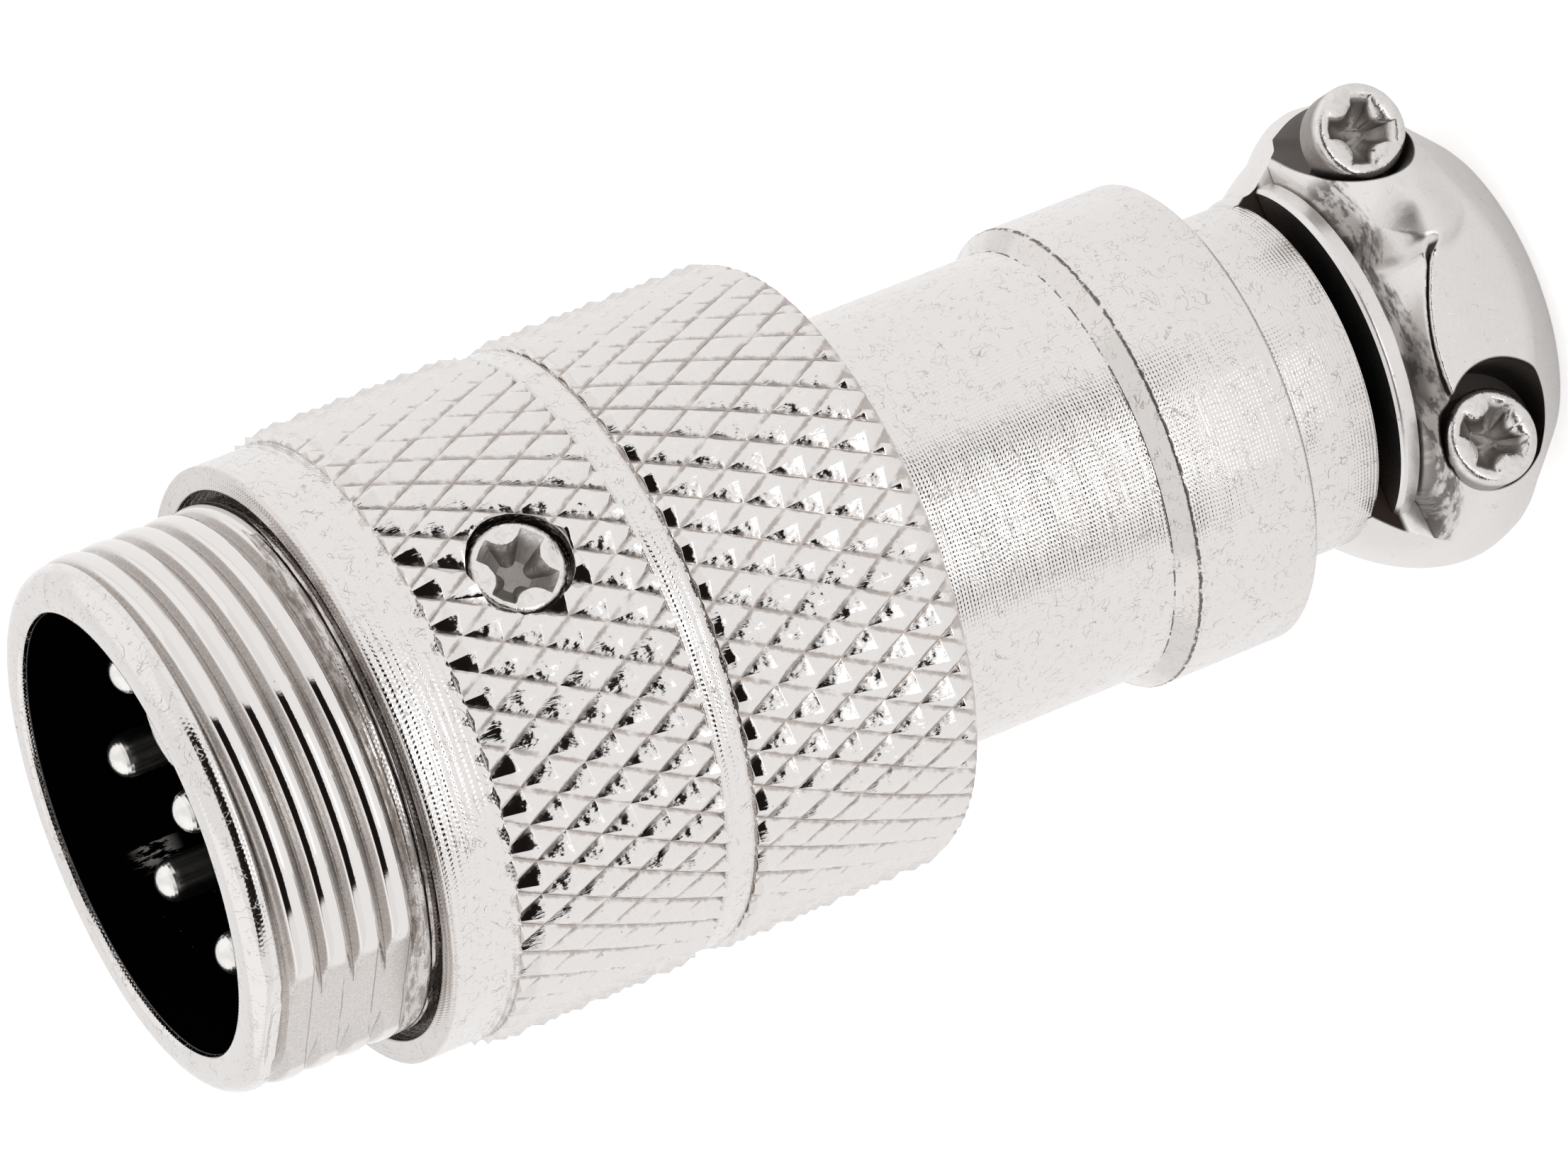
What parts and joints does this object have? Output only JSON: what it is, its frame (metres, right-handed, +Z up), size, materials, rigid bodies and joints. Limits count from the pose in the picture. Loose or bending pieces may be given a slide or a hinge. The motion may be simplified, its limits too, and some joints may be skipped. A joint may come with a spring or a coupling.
{
  "type": "aviation plug connector",
  "caption": "In-line circular multi-pole male plug with threaded nose, diamond-knurled sleeve, set screw and a two-screw cable clamp.",
  "frame": {"origin": "centre of the flat rear face of the cable clamp, on the plug's axis", "axes": "+Z up the plug's axis towards the mating face; the clamp saddle and its screw heads face -Y"},
  "size_m": [0.0188, 0.0188, 0.0447],
  "materials": {
    "nickel_plate": "bright nickel plate over turned metal",
    "nickel_casting": "bright nickel plate over a zinc casting",
    "screw_plate": "nickel-plated steel, grey in the recess",
    "contact_plate": "silver-plated brass",
    "black_insulator": "matt black thermoset",
    "spring_steel": "plain spring steel"
  },
  "bodies": {
    "plug": {"nose_shell": "nickel_casting", "insulator": "black_insulator", "retaining_ring": "spring_steel", "contact_1": "contact_plate", "contact_2": "contact_plate", "contact_3": "contact_plate", "contact_4": "contact_plate", "contact_5": "contact_plate", "contact_6": "contact_plate", "contact_7": "contact_plate", "contact_8": "contact_plate", "sleeve": "nickel_plate", "rear_shell": "nickel_plate"},
    "saddle": {"clamp_saddle": "nickel_casting"},
    "upper_screw": {"clamp_screw_upper": "screw_plate"},
    "lower_screw": {"clamp_screw_lower": "screw_plate"},
    "locking_screw": {"set_screw": "screw_plate"}
  },
  "joints": [
    {"name": "upper_screw_turn", "type": "hinge", "parent": "saddle", "child": "upper_screw", "pos_m": [0.00545, -0.0045, 0.00335], "axis": [0, -1, 0], "range_deg": [0, 1440]},
    {"name": "lower_screw_turn", "type": "hinge", "parent": "saddle", "child": "lower_screw", "pos_m": [-0.00425, -0.0045, 0.00335], "axis": [0, -1, 0], "range_deg": [0, 1440]},
    {"name": "saddle_lift", "type": "slide", "parent": "plug", "child": "saddle", "axis": [0, -1, 0], "range_m": [0, 0.0016]},
    {"name": "set_screw_travel", "type": "slide", "parent": "plug", "child": "locking_screw", "axis": [0.2756, -0.9613, 0], "range_m": [0, 0.0006]}
  ],
  "couplings": [
    {"joint": "upper_screw_turn", "follows": "saddle_lift", "rad_per_m": 15708},
    {"joint": "lower_screw_turn", "follows": "saddle_lift", "rad_per_m": 15708}
  ]
}
